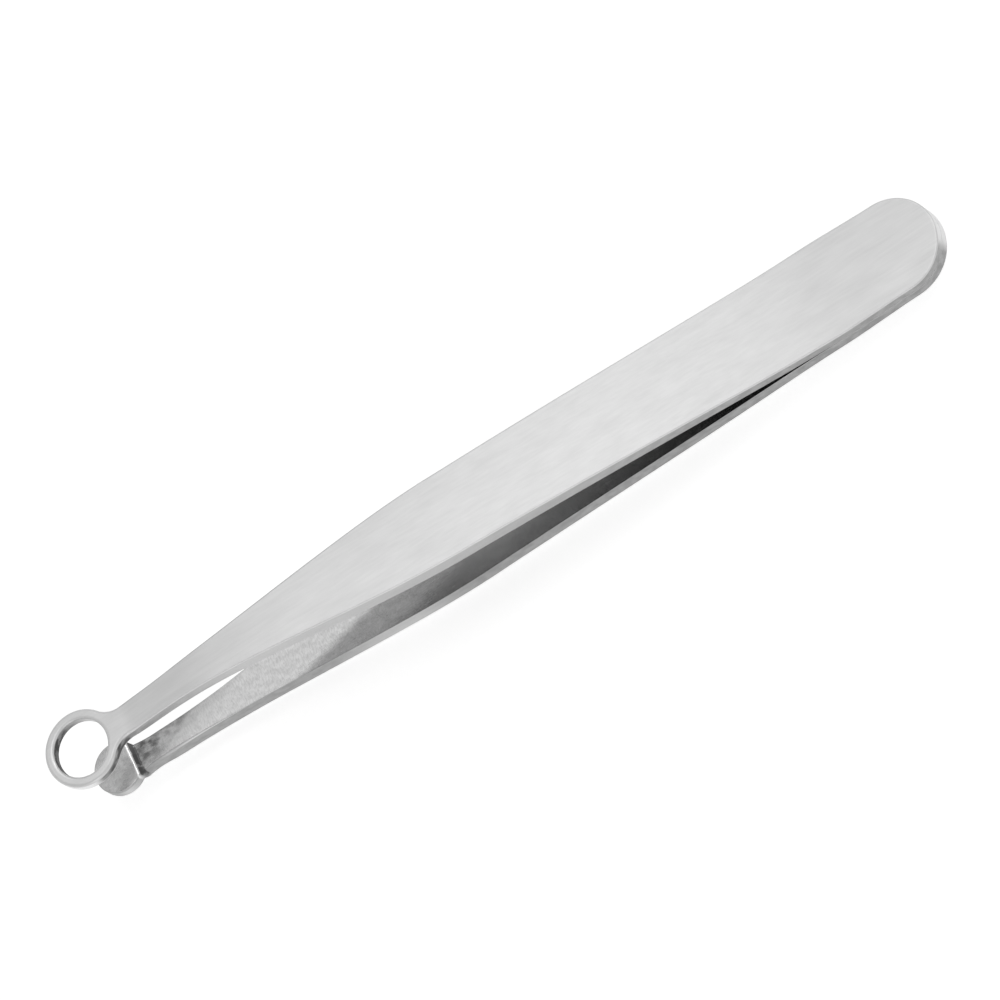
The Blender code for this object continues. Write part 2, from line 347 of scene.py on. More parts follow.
# %% Marks of the side and the seam
SEAM_ROUND_PLACES = (76.0 * MM, 88.0 * MM)
SEAM_DULLNESS = 0.4
CORNER_PLACE = 8
CORNER_ROWS = 14
RING_SIDE_PLACES = (66.0 * MM, TIP_CENTRE - 2.0 * MM)
RING_SIDE_SHADE = 0.6
RING_FOOT_PLACES = (RING_ROOT_PLACE, RING_ROOT_PLACE + 1.2 * MM)
RING_FOOT_SHADE = 0.85


def mark_side(layers, over, under, outer, normal, side, rows_past_hole):
    """The cut side's painted shade, deeper where the ring leaves its arm, and a darker line along the seam
    below it.
    """
    darkened, bright = layers
    side_darkened, side_bright = side_finish(outer, normal, side)
    foot_darkened = side_darkened
    # Painted shade in the ring's concave corner, along its side and round its foot, where the steel lies in
    # shade and mirrors the dark disc.
    if rows_past_hole is not None:
        on_ring = ease(between(*RING_SIDE_PLACES, outer.x))
        corner = ease(1 - min(abs(rows_past_hole - CORNER_PLACE) / CORNER_ROWS, 1.0))
        over[-2][darkened] = corner
        side_darkened = max(side_darkened, RING_SIDE_SHADE * on_ring, corner)
        foot_darkened = max(side_darkened, RING_FOOT_SHADE * ease(between(*RING_FOOT_PLACES, outer.x)))
    for vert, darkening in ((over[-1], side_darkened), (under[-1], foot_darkened)):
        vert[darkened] = darkening * (1 - side_bright)
        vert[bright] = side_bright
    # The seam's rounded edge takes a share of the side's painted shade.
    sharp = 1 - ease(between(*SEAM_ROUND_PLACES, outer.x))
    for lower in under[-ROUND_STEPS - 1:-1]:
        lower[darkened] = SEAM_DULLNESS * under[-1][darkened] * sharp


print("Ring's corner is dull over", 2 * CORNER_ROWS - 1, "rows")

# %% Points, faces and edges of a blank
BLANK_DEPTH = 0.45 * MM
UPPER, LOWER = 1, -1


def skin(mesh, rows):
    """Quads between each row of points and the next. Rows are lists of vertices of equal length."""
    for before, after in zip(rows, rows[1:]):
        for a, b, c, d in zip(before, after, after[1:], before[1:]):
            mesh.faces.new((a, b, c, d))


def add_points(blank, points, face):
    """Adds points at their depths below the upper face or above the lower one."""
    return [blank.verts.new((x, y, face * (BLANK_DEPTH - depth))) for x, y, depth in points]


def edge_radii(x, tip_round, round_start):
    """Radii of the upper and the lower edge. The lower edge, at the seam, is nearly sharp up to the neck."""
    near_tip = ease(between(round_start, TIP_CENTRE - RING_RADIUS, x))
    radius = EDGE_ROUND + (tip_round - EDGE_ROUND) * near_tip
    return radius, SEAM_ROUND + (radius - SEAM_ROUND) * ease(between(*SEAM_ROUND_PLACES, x))


print("Blank is", 2 * BLANK_DEPTH / MM, "mm thick before it is pressed")

# %% Join the rows into a closed blank
MERGE_DISTANCE = 0.0005 * MM


def flat_blank(rails, hole_row, tip_round, round_start, side):
    """One closed flat blank: half is stretched between the rails, then mirrored and merged."""
    blank = bmesh.new()
    layers = [blank.verts.layers.float.new(name) for name in ("painted_shade", "burnish_and_highlight")]
    darkened = layers[0]
    loops = []
    hole_loops = []
    for i, ((outer, inner), normal) in enumerate(zip(rails, outline_normals(rails))):
        radius, seam_radius = edge_radii(outer.x, tip_round, round_start)
        at_hole = hole_row is not None and i >= hole_row
        hole_normal = (Vector((TIP_CENTRE, 0.0)) - inner).normalized() if at_hole else Vector((0.0, 0.0))
        row, hole = half_row(outer, normal, inner, hole_normal, radius)
        seam_row = half_row(outer, normal, inner, hole_normal, seam_radius)[0]
        over = add_points(blank, row, UPPER)
        under = add_points(blank, seam_row, LOWER)
        loops.append(over + under[::-1])
        if at_hole:
            hole_over = add_points(blank, hole, UPPER)
            hole_under = add_points(blank, hole, LOWER)
            hole_loops.append([over[0]] + hole_over + hole_under[::-1] + [under[0]])
            # Painted shade on the far half of the hole's wall, which faces the tail and mirrors the dark gap
            # between the arms.
            far_side = between(TIP_CENTRE - HOLE_RADIUS, TIP_CENTRE + HOLE_RADIUS, inner.x)
            for upper, lower in zip(hole_over[-2:], hole_under[-2:]):
                upper[darkened] = lower[darkened] = far_side
        mark_face(layers, over, outer, normal)
        mark_side(layers, over, under, outer, normal, side, None if hole_row is None else i - hole_row)
    skin(blank, loops)
    skin(blank, hole_loops)
    half = blank.verts[:] + blank.edges[:] + blank.faces[:]
    bmesh.ops.mirror(blank, geom=half, axis="Y", merge_dist=MERGE_DISTANCE)
    bmesh.ops.remove_doubles(blank, verts=blank.verts[:], dist=MERGE_DISTANCE)
    bmesh.ops.recalc_face_normals(blank, faces=blank.faces[:])
    return blank


ring_blank = flat_blank(*ring_arm_rails(), RING_EDGE_ROUND, RING_NECK_PLACE, RING_SIDE)
cutter_blank = flat_blank(*cutter_arm_rails(), DISC_EDGE_ROUND, STEP_PLACE, CUTTER_SIDE)
print("Faces of the blanks:", len(ring_blank.faces), "and", len(cutter_blank.faces))

# %% Cut the cutter arm's blank across, where it will be bent sharply
STEP_CUTS = 30


def cut_across(blank, places):
    """Adds straight rows of edges across the blank."""
    for x in places:
        geometry = blank.verts[:] + blank.edges[:] + blank.faces[:]
        bmesh.ops.bisect_plane(
            blank, geom=geometry, dist=MERGE_DISTANCE, plane_co=(x, 0, 0), plane_no=(1, 0, 0))


cut_across(cutter_blank, spread(STEP_PLACE - STEP_MARGIN, CREST_PLACE + STEP_MARGIN, STEP_CUTS))
print("Faces after the cuts:", len(cutter_blank.faces))

# %% Shade in the gap
DEEP_SHADE = 0.4
DEEP_START_PLACES = (WELD_LENGTH, 25.0 * MM)
DEEP_END_PLACES = (69.8 * MM, 75.0 * MM)
DEEP_EDGE_SHADE = 0.2
DEEP_EDGE_PLACES = (50.0 * MM, 58.0 * MM)
DEEP_SLANT = 5.1
DEEP_MIDDLE = 2.2 * MM
FAR_EDGE_SHADE = 0.4
FAR_EDGE_PLACES = (10.0 * MM, 55.0 * MM)


def mark_shade(blank):
    """Paints shade on the inner face deep in the gap, up to a slanting line, and on the far rounded upper
    edge.
    """
    shade = blank.verts.layers.float.new("shaded")
    darkened = blank.verts.layers.float["painted_shade"]
    for vert in blank.verts:
        x, y, z = vert.co
        if z < SEAM_ROUND / 2 - BLANK_DEPTH:
            slanted = x - DEEP_SLANT * (y - DEEP_MIDDLE)
            deep = ease(between(*DEEP_START_PLACES, x)) * (1 - ease(between(*DEEP_END_PLACES, slanted)))
            vert[shade] = (DEEP_SHADE + DEEP_EDGE_SHADE * ease(between(*DEEP_EDGE_PLACES, x))) * deep
        # Painted shade on the far rounded upper edge, growing towards the tip.
        if y < 0 and x < RING_ROOT_PLACE and MERGE_DISTANCE < BLANK_DEPTH - z < EDGE_ROUND:
            vert[darkened] = max(vert[darkened], FAR_EDGE_SHADE * between(*FAR_EDGE_PLACES, x))


mark_shade(ring_blank)
mark_shade(cutter_blank)
print("Shade ends between", [round(place / MM, 1) for place in DEEP_END_PLACES], "mm")

# %% Painted shade and highlight at the step
STEP_SHADE = 0.72
STEP_SHADE_LENGTH = 11.0 * MM
STEP_SHADE_SLANT = 2.5
CREST_SHINE = 0.16 * MM
DISC_SHADE = 0.4


def mark_step(blank):
    """Paints shade before the step, on its riser and on the disc, and a highlight on the crest, partly a real
    worn edge.
    """
    darkened = blank.verts.layers.float["painted_shade"]
    bright = blank.verts.layers.float["burnish_and_highlight"]
    for vert in blank.verts:
        x, y, z = vert.co
        # Painted shade where the ring arm shades the inner face before the step, on the riser and on the
        # disc.
        if z < 0:
            foot = ease(between(STEP_PLACE - STEP_MARGIN, STEP_PLACE, x))
            step_shade = STEP_SHADE * ease(between(STEP_PLACE - STEP_SHADE_LENGTH, STEP_PLACE, x - STEP_SHADE_SLANT * y))
            top = ease(between(STEP_PLACE + STEP_RUN / 2, CREST_PLACE - CREST_SHINE / 2, x))
            vert[darkened] = max(max(vert[darkened], foot, step_shade) * (1 - top), DISC_SHADE * top)
            # Painted highlight along the crest, which is also made smoother there.
            crest = ease(1 - min(abs(x - CREST_PLACE) / CREST_SHINE, 1.0))
            vert[bright] = max(vert[bright], crest)


mark_step(cutter_blank)
print("Haze starts at", round((STEP_PLACE - STEP_SHADE_LENGTH) / MM, 2), "mm")


# %% Turn both blanks into objects
def blank_object(name, blank):
    """Turns a blank into an object at the origin, and reports how many edges are open."""
    open_edges = sum(1 for edge in blank.edges if len(edge.link_faces) != 2)
    print(name, "has", len(blank.faces), "faces and", open_edges, "open edges")
    mesh = bpy.data.meshes.new(name)
    blank.to_mesh(mesh)
    blank.free()
    mesh.shade_smooth()
    piece = bpy.data.objects.new(name, mesh)
    bpy.context.scene.collection.objects.link(piece)
    return piece


ring_arm_blank = blank_object("ring_arm_steel", ring_blank)
cutter_arm_blank = blank_object("cutter_arm_steel", cutter_blank)

# %% [markdown]
# ## Pressing the arms to shape
# The press gives every point of a blank a new height, and that height follows one rule: how far along the
# arm the point lies. A rule that moves every point alike suits Geometry Nodes. The tree below reads each
# point's place, looks up the rise of the arm and the thickness of the sheet in two Float Curves, adds the
# step near the tip, and moves the point. The same tree presses both arms, with other numbers.


# %% The curve of an arm, seen from the side
def smooth_through(points, x):
    """The height at x of a curve through the points, level where they turn and never past them."""
    slopes = [(b[1] - a[1]) / (b[0] - a[0]) for a, b in zip(points, points[1:])]
    tangents = [slopes[0]]
    for before, after in zip(slopes, slopes[1:]):
        turns = before * after <= 0
        tangents.append(0.0 if turns else 2 * before * after / (before + after))
    tangents.append(slopes[-1])
    i = max(n for n in range(len(slopes)) if n == 0 or points[n][0] <= x)
    start, end = points[i], points[i + 1]
    run = end[0] - start[0]
    t = between(start[0], end[0], x)
    bulge = (t * (1 - t) ** 2 * tangents[i] - t * t * (1 - t) * tangents[i + 1]) * run
    return start[1] + (end[1] - start[1]) * ease(t) + bulge


print("Middle of the ring arm has", round(smooth_through(RING_ARM_SHARES, 0.5), 2), "of its rise")

# %% Tables of a ramp and of a sheet's thickness
CURVE_POINTS = 40
ROUND_ENDS = 0.5


def ramp_table(foot, crest):
    """A straight ramp from 0 to 1 whose foot and crest are rounded over the given shares of its run."""
    slope = 1 / (1 - foot / 2 - crest / 2)
    table = []
    for t in spread(0.0, 1.0, CURVE_POINTS):
        if t < foot:
            value = slope * t * t / (2 * foot)
        elif t < 1 - crest:
            value = slope * (t - foot / 2)
        else:
            value = 1 - slope * (1 - t) ** 2 / (2 * crest)
        table.append((t, value))
    return table


def sheet_thickness(x, thicknesses, thickest_place, neck_place, base_thickness, base_place):
    """Thickness of the sheet at a place along an arm."""
    tail, middle, neck = thicknesses
    value = tail + (middle - tail) * ease(between(0.0, thickest_place, x))
    value += (neck - value) * ease(between(thickest_place, neck_place, x))
    return value + (base_thickness - value) * ease(between(neck_place, base_place, x))


round_ramp = ramp_table(ROUND_ENDS, ROUND_ENDS)
print("A ramp with round ends rises through", [round(value, 3) for t, value in round_ramp[::8]])


# %% Helpers that write a node tree
def plug(tree, socket, value):
    """Feeds an input from another node's output, or with a plain value."""
    if isinstance(value, bpy.types.NodeSocket):
        tree.links.new(value, socket)
    else:
        socket.default_value = value


def compute(tree, operation, *values):
    """A Math node."""
    node = tree.nodes.new("ShaderNodeMath")
    node.operation = operation
    for socket, value in zip(node.inputs, values):
        plug(tree, socket, value)
    return node.outputs["Value"]


def rescale(tree, value, low, high):
    """A Map Range node from low and high to 0 and 1."""
    node = tree.nodes.new("ShaderNodeMapRange")
    plug(tree, node.inputs["Value"], value)
    plug(tree, node.inputs["From Min"], low)
    plug(tree, node.inputs["From Max"], high)
    return node.outputs["Result"]


def look_up(tree, share, table):
    """A Float Curve node through a table of (share, value) points."""
    node = tree.nodes.new("ShaderNodeFloatCurve")
    curve = node.mapping.curves[0]
    curve.points[0].location = table[0]
    curve.points[-1].location = table[-1]
    for place, value in table[1:-1]:
        curve.points.new(place, value)
    node.mapping.update()
    plug(tree, node.inputs["Value"], share)
    return node.outputs["Value"]


# %% The press
PRESS_SIZES = (
    "Rise", "Bend Start", "Bend End", "Length", "Thickest", "Step Start", "Step End", "Step Height",
    "Tip Thickness", "Blank Depth", "Half Gap", "Half Width", "Crown", "Side",
)


def press_tree(name, rise_table, thickness_table, step_table):
    """A Geometry Nodes tree that presses a flat blank to its side view."""
    tree = bpy.data.node_groups.new(name, "GeometryNodeTree")
    tree.interface.new_socket("Geometry", in_out="INPUT", socket_type="NodeSocketGeometry")
    for size in PRESS_SIZES:
        tree.interface.new_socket(size, in_out="INPUT", socket_type="NodeSocketFloat")
    tree.interface.new_socket("Finish", in_out="INPUT", socket_type="NodeSocketMaterial")
    tree.interface.new_socket("Geometry", in_out="OUTPUT", socket_type="NodeSocketGeometry")
    given = tree.nodes.new("NodeGroupInput").outputs

    split = tree.nodes.new("ShaderNodeSeparateXYZ")
    plug(tree, split.inputs[0], tree.nodes.new("GeometryNodeInputPosition").outputs[0])
    x, y, z = split.outputs

    rise = look_up(tree, rescale(tree, x, given["Bend Start"], given["Bend End"]), rise_table)
    thickness = look_up(tree, compute(tree, "DIVIDE", x, given["Length"]), thickness_table)
    thickness = compute(tree, "MULTIPLY", thickness, given["Thickest"])
    step = look_up(tree, rescale(tree, x, given["Step Start"], given["Step End"]), step_table)
    inner = compute(tree, "MULTIPLY_ADD", rise, given["Rise"], given["Half Gap"])
    inner = compute(tree, "SUBTRACT", inner, compute(tree, "MULTIPLY", step, given["Step Height"]))
    change = compute(tree, "SUBTRACT", given["Tip Thickness"], thickness)
    outer = compute(tree, "ADD", inner, compute(tree, "MULTIPLY_ADD", change, step, thickness))
    across = compute(tree, "DIVIDE", compute(tree, "ABSOLUTE", y), given["Half Width"])
    drop = compute(tree, "MULTIPLY", compute(tree, "POWER", across, 2.0), given["Crown"])
    outer = compute(tree, "SUBTRACT", outer, drop)

    depth = compute(tree, "SUBTRACT", given["Blank Depth"], compute(tree, "ABSOLUTE", z))
    choose = tree.nodes.new("GeometryNodeSwitch")
    choose.input_type = "FLOAT"
    plug(tree, choose.inputs["Switch"], compute(tree, "GREATER_THAN", z, 0.0))
    plug(tree, choose.inputs["False"], compute(tree, "ADD", inner, depth))
    plug(tree, choose.inputs["True"], compute(tree, "SUBTRACT", outer, depth))
    join = tree.nodes.new("ShaderNodeCombineXYZ")
    height = compute(tree, "MULTIPLY", choose.outputs[0], given["Side"])
    for socket, value in zip(join.inputs, (x, y, height)):
        plug(tree, socket, value)
    return finish_press(tree, given, join.outputs[0], z)


print("The press takes", len(PRESS_SIZES), "sizes")

# %% The last steps of the press
FACE_SHARE = 0.999


def finish_press(tree, given, place, z):
    """Marks the inner face, moves the points, turns the faces outwards and gives the finish."""
    mark = tree.nodes.new("GeometryNodeStoreNamedAttribute")
    mark.inputs["Name"].default_value = "inner_face"
    plug(tree, mark.inputs["Geometry"], given["Geometry"])
    face_depth = compute(tree, "MULTIPLY", given["Blank Depth"], -FACE_SHARE)
    plug(tree, mark.inputs["Value"], compute(tree, "LESS_THAN", z, face_depth))
    move = tree.nodes.new("GeometryNodeSetPosition")
    plug(tree, move.inputs["Geometry"], mark.outputs["Geometry"])
    plug(tree, move.inputs["Position"], place)
    flip = tree.nodes.new("GeometryNodeFlipFaces")
    plug(tree, flip.inputs["Mesh"], move.outputs["Geometry"])
    plug(tree, flip.inputs["Selection"], compute(tree, "LESS_THAN", given["Side"], 0.0))
    realize = tree.nodes.new("GeometryNodeRealizeInstances")
    plug(tree, realize.inputs["Geometry"], flip.outputs["Mesh"])
    finish = tree.nodes.new("GeometryNodeSetMaterial")
    plug(tree, finish.inputs["Geometry"], realize.outputs["Geometry"])
    plug(tree, finish.inputs["Material"], given["Finish"])
    plug(tree, tree.nodes.new("NodeGroupOutput").inputs["Geometry"], finish.outputs["Geometry"])
    return tree


# %% [markdown]
# ## Satin steel
# The real arms are brushed along their length and then tumbled, so the sheen is soft and long faint lines run
# from tail to tip. Metal has no colour of its own beyond a pale grey: what we see is the room. The finish is
# therefore mostly roughness and bump. One noise is stretched along the arm for the brushing. The inner faces
# are ground across instead, so theirs is stretched the other way, with cloudy patches from heat treatment.
# The three numbers stored on the blank paint the steel: painted shade that also makes it rougher, a painted
# highlight that also makes it smoother, and painted shade deep in the gap. Numbers on the points suit this
# better than image textures, because they follow the shape and need no unwrapping.

# %% Nodes of the finish
def noise(tree, coordinates, stretch, detail):
    """A noise texture from 0 to 1. The stretch is in cells per metre along x, y and z."""
    mapping = tree.nodes.new("ShaderNodeMapping")
    mapping.inputs["Scale"].default_value = stretch
    plug(tree, mapping.inputs["Vector"], coordinates)
    texture = tree.nodes.new("ShaderNodeTexNoise")
    texture.inputs["Scale"].default_value = 1.0
    texture.inputs["Detail"].default_value = detail
    plug(tree, texture.inputs["Vector"], mapping.outputs["Vector"])
    return texture.outputs["Fac"]


def attribute(tree, name):
    """A number stored on the mesh."""
    node = tree.nodes.new("ShaderNodeAttribute")
    node.attribute_name = name
    return node.outputs["Fac"]


def blend_colours(tree, share, first, second):
    """A Mix node from the first colour to the second. Its colours are inputs 6 and 7, and output 2."""
    node = tree.nodes.new("ShaderNodeMix")
    node.data_type = "RGBA"
    factor, first_colour, second_colour = node.inputs[0], node.inputs[6], node.inputs[7]
    plug(tree, factor, share)
    plug(tree, first_colour, first)
    plug(tree, second_colour, second)
    return node.outputs[2]


# %% Colour of the steel
STREAK_GRAIN = ((160.0, 4000.0, 4000.0), 3.0)
PATCH_GRAIN = ((250.0, 800.0, 800.0), 5.0)
GROUND_GRAIN = ((7000.0, 2600.0, 2600.0), 2.0)
WORN_RANGE = (0.3, 0.7)
GROUND_RANGE = (0.4, 0.65)
CLOUD_RANGE = (0.4, 0.62)
SPECKLE_RANGE = (0.4, 0.6)
LEAST_WORN = 0.23
STREAK_SHARE = 0.25
PATCH_SHARE = 0.3
CLOUD_SHARE = 0.3
GROUND_SHARE = 0.35
LEAST_SPECKLE = 0.8
SPECKLE_SHARE = 1.1
STEEL_COLOUR = (0.77, 0.77, 0.77, 1.0)
STEEL_SHADE = (0.62, 0.62, 0.62, 1.0)
INNER_COLOUR = (0.9, 0.9, 0.9, 1.0)
INNER_SHADE = (0.58, 0.58, 0.58, 1.0)
# Dark grey of the painted shade.
SHADE_GREY = (0.12, 0.12, 0.12, 1.0)
# Light grey of the painted highlights, also on edges that are really ground or rubbed bright.
BURNISH_AND_HIGHLIGHT_GREY = (0.93, 0.93, 0.93, 1.0)


def steel_colour(tree, place, clouds, cloudy, marks):
    """Streaky outside and ground inside, then given painted shade and painted highlights by the marks on the
    mesh.
    """
    streaks = rescale(tree, noise(tree, place, *STREAK_GRAIN), *WORN_RANGE)
    patches = rescale(tree, noise(tree, place, *PATCH_GRAIN), *WORN_RANGE)
    wear_and_light = compute(tree, "MULTIPLY_ADD", streaks, STREAK_SHARE, LEAST_WORN)
    wear_and_light = compute(tree, "MULTIPLY_ADD", patches, PATCH_SHARE, wear_and_light)
    colour = blend_colours(tree, wear_and_light, STEEL_COLOUR, STEEL_SHADE)

    ground = rescale(tree, noise(tree, place, *GROUND_GRAIN), *GROUND_RANGE)
    scratched = compute(tree, "MULTIPLY", ground, marks["inner_face"])
    scratched = compute(tree, "MULTIPLY", scratched, GROUND_SHARE)
    inside = compute(tree, "MULTIPLY_ADD", cloudy, CLOUD_SHARE, scratched)
    colour = blend_colours(tree, marks["inner_face"], colour, INNER_COLOUR)
    colour = blend_colours(tree, inside, colour, INNER_SHADE)

    darkened = marks["painted_shade"]
    speckled = rescale(tree, clouds, *SPECKLE_RANGE)
    speckled = compute(tree, "MULTIPLY", speckled, compute(tree, "POWER", darkened, 2.0))
    speckled = compute(tree, "MULTIPLY_ADD", speckled, SPECKLE_SHARE, LEAST_SPECKLE)
    # Painted shade: the first and the third number on the mesh mix the steel towards a dark grey.
    colour = blend_colours(tree, compute(tree, "MULTIPLY", darkened, speckled), colour, SHADE_GREY)
    colour = blend_colours(tree, marks["shaded"], colour, SHADE_GREY)
    # Painted highlight: bright edges turn towards a light grey.
    return blend_colours(tree, marks["burnish_and_highlight"], colour, BURNISH_AND_HIGHLIGHT_GREY)


print("Steel mirrors", STEEL_SHADE[0], "to", STEEL_COLOUR[0], "of the light")

# %% Roughness and bump of the steel
STEEL_ROUGHNESS = 0.34
BRUSHED_ROUGHNESS = 0.12
INNER_ROUGHNESS = -0.27
CLOUD_ROUGHNESS = 0.05
BURNISHED_ROUGHNESS = -0.12
DULL_ROUGHNESS = 0.25
FINE_GRAIN = ((9000.0, 14000.0, 14000.0), 2.0)
FINE_SHARE = 0.5
BUMP_STRENGTH = 0.35
BUMP_DISTANCE = 0.01 * MM


def steel_roughness(tree, brushing, cloudy, marks):
    """Satin where the arm is brushed, smoother inside and where it is burnished, rougher where it is dull."""
    least = STEEL_ROUGHNESS - BRUSHED_ROUGHNESS / 2
    rough = compute(tree, "MULTIPLY_ADD", brushing, BRUSHED_ROUGHNESS, least)
    rough = compute(tree, "MULTIPLY_ADD", marks["inner_face"], INNER_ROUGHNESS, rough)
    rough = compute(tree, "MULTIPLY_ADD", cloudy, CLOUD_ROUGHNESS, rough)
    rough = compute(tree, "MULTIPLY_ADD", marks["burnish_and_highlight"], BURNISHED_ROUGHNESS, rough)
    rough = compute(tree, "MULTIPLY_ADD", marks["shaded"], DULL_ROUGHNESS, rough)
    return compute(tree, "MULTIPLY_ADD", marks["painted_shade"], DULL_ROUGHNESS, rough)


def steel_bump(tree, place, brushing):
    """The brushed lines and a finer grain, as a bump."""
    bump = tree.nodes.new("ShaderNodeBump")
    bump.inputs["Strength"].default_value = BUMP_STRENGTH
    bump.inputs["Distance"].default_value = BUMP_DISTANCE
    fine = noise(tree, place, *FINE_GRAIN)
    plug(tree, bump.inputs["Height"], compute(tree, "MULTIPLY_ADD", fine, FINE_SHARE, brushing))
    return bump.outputs["Normal"]


print("Bump is", round(BUMP_STRENGTH * BUMP_DISTANCE / MM, 4), "mm deep")

# %% The steel
BRUSHING_GRAIN = ((120.0, 9000.0, 9000.0), 3.0)
CLOUD_GRAIN = ((900.0, 1600.0, 1600.0), 4.0)
MARKS = ("inner_face", "painted_shade", "burnish_and_highlight", "shaded")


def satin_steel():
    """Brushed and tumbled stainless steel, with cloudy inner faces."""
    material = bpy.data.materials.new("satin_steel")
    material.use_nodes = True
    tree = material.node_tree
    shader = tree.nodes["Principled BSDF"]
    shader.inputs["Metallic"].default_value = 1.0
    place = tree.nodes.new("ShaderNodeTexCoord").outputs["Object"]
    brushing = noise(tree, place, *BRUSHING_GRAIN)
    clouds = noise(tree, place, *CLOUD_GRAIN)
    marks = {name: attribute(tree, name) for name in MARKS}
    cloudy = compute(tree, "MULTIPLY", rescale(tree, clouds, *CLOUD_RANGE), marks["inner_face"])
    plug(tree, shader.inputs["Base Color"], steel_colour(tree, place, clouds, cloudy, marks))
    plug(tree, shader.inputs["Roughness"], steel_roughness(tree, brushing, cloudy, marks))
    plug(tree, shader.inputs["Normal"], steel_bump(tree, place, brushing))
    return material


steel = satin_steel()
print("Finish has", len(steel.node_tree.nodes), "nodes")


# %% Run the press
def press(blank, tree, sizes):
    """Runs the press on a blank and keeps the result as a plain mesh."""
    modifier = blank.modifiers.new("press", "NODES")
    modifier.node_group = tree
    for item in tree.interface.items_tree:
        if item.in_out == "INPUT" and item.name in sizes:
            modifier[item.identifier] = sizes[item.name]
    blank.update_tag()
    scene_now = bpy.context.evaluated_depsgraph_get()
    pressed = bpy.data.meshes.new_from_object(
        blank.evaluated_get(scene_now), preserve_all_data_layers=True, depsgraph=scene_now)
    blank.modifiers.remove(modifier)
    blank.data = pressed
    pressed.name = blank.name
    return blank


# %% Rise and thickness of a whole arm
BEND_EASE = 3.5 * MM
BEND_START = WELD_LENGTH - BEND_EASE


def arm_rise(x, rise_shares, bend_end):
    """Rise of an arm at a place, as a share of its full rise. It leaves the weld softly."""
    soft_end = WELD_LENGTH + BEND_EASE
    rise = smooth_through(rise_shares, between(WELD_LENGTH, bend_end, max(x, soft_end)))
    return rise * between(BEND_START, soft_end, x) ** 2


def side_tables(rise_shares, bend_end, *sheet):
    """Tables of rise and thickness for the press, with the thickest value of the sheet."""
    shares = spread(0.0, 1.0, CURVE_POINTS)
    bend_places = spread(BEND_START, bend_end, CURVE_POINTS)
    rises = [(share, arm_rise(x, rise_shares, bend_end)) for share, x in zip(shares, bend_places)]
    values = [sheet_thickness(share * OVERALL_LENGTH, *sheet) for share in shares]
    thickest = max(values)
    return rises, [(share, value / thickest) for share, value in zip(shares, values)], thickest


print("Arms start to part", round(BEND_START / MM, 2), "mm from the tail's end")

# %% Press the ring arm
CROWN = 0.1 * MM
COMMON = {
    "Length": OVERALL_LENGTH, "Blank Depth": BLANK_DEPTH, "Half Gap": SEAM_GAP / 2, "Bend Start": BEND_START,
    "Half Width": WIDEST_WIDTH / 2, "Crown": CROWN, "Finish": steel,
}
ring_neck_thickness = RING_ARM_THICKNESSES[-1]
rises, thicks, thickest = side_tables(
    RING_ARM_SHARES, RING_ROOT_PLACE,
    RING_ARM_THICKNESSES, RING_ARM_THICKEST_PLACE, RING_ROOT_PLACE, ring_neck_thickness, TIP_CENTRE)
ring_arm = press(ring_arm_blank, press_tree("press_ring_arm", rises, thicks, round_ramp), COMMON | {
    "Rise": RING_ARM_RISE, "Bend End": RING_ROOT_PLACE, "Thickest": thickest, "Side": 1.0,
    "Step Start": RING_ROOT_PLACE, "Step End": TIP_CENTRE - HOLE_RADIUS,
    "Step Height": RING_THICKNESS - ring_neck_thickness, "Tip Thickness": RING_THICKNESS})
print("Pressed", ring_arm.name, "with", len(ring_arm.data.polygons), "faces")

# %% Press the cutter arm
rises, thicks, thickest = side_tables(
    CUTTER_ARM_SHARES, STEP_PLACE,
    CUTTER_ARM_THICKNESSES, CUTTER_ARM_THICKEST_PLACE, CUTTER_NECK_PLACE, STEP_BASE_THICKNESS, STEP_PLACE)
ramp = ramp_table(FOOT_ROUND / STEP_RUN, CREST_ROUND / STEP_RUN)
cutter_arm = press(cutter_arm_blank, press_tree("press_cutter_arm", rises, thicks, ramp), COMMON | {
    "Rise": CUTTER_ARM_RISE, "Bend End": STEP_PLACE, "Thickest": thickest, "Side": -1.0,
    "Step Start": STEP_PLACE, "Step End": CREST_PLACE,
    "Step Height": STEP_HEIGHT, "Tip Thickness": DISC_THICKNESS})
print("Pressed", cutter_arm.name, "with", len(cutter_arm.data.polygons), "faces")

# %% [markdown]
# ## Laying the trimmer down
# The CAD model lies on its tail and on the belly of the lower arm, so it is tilted a little. Its two hinges
# tell the tilt: on the pressed arms they stand exactly one above the other. The arms are turned by that tilt
# and then shifted onto the CAD box. The change is made in the mesh, so that each object stays at the origin.

# %% Tilt and place both arms
joints = {joint["name"]: joint for joint in frame["record"]["behaviour"]["joints"]}
upper_pivot = Vector(joints["ring_arm_flex"]["pos_m"])
lower_pivot = Vector(joints["cutter_arm_flex"]["pos_m"])
TILT = math.atan2(upper_pivot.x - lower_pivot.x, upper_pivot.z - lower_pivot.z)
print("Tilt in degrees:", round(math.degrees(TILT), 3))

for arm in (ring_arm, cutter_arm):
    arm.data.transform(Matrix.Rotation(TILT, 4, "Y"))
corners = [vert.co for arm in (ring_arm, cutter_arm) for vert in arm.data.vertices]
low = [min(corner[axis] for corner in corners) for axis in range(3)]
high = [max(corner[axis] for corner in corners) for axis in range(3)]
shift = Vector(((cad_box[0][0] + cad_box[1][0] - low[0] - high[0]) / 2, 0.0, cad_box[0][2] - low[2]))
for arm in (ring_arm, cutter_arm):
    arm.data.transform(Matrix.Translation(shift))
print("Shift in mm:", [round(value / MM, 3) for value in shift])

# %% [markdown]
# ## Springing
# Each real arm bends along its free length when it is squeezed. In the CAD it is split at one hinge. The
# dressed arm could be cut there too, but a slit would show when it turns. It is one unbroken piece instead,
# and it is blended: the welded tail stays with the tail body, the tip follows the moving body, and the
# stretch between them bends smoothly.

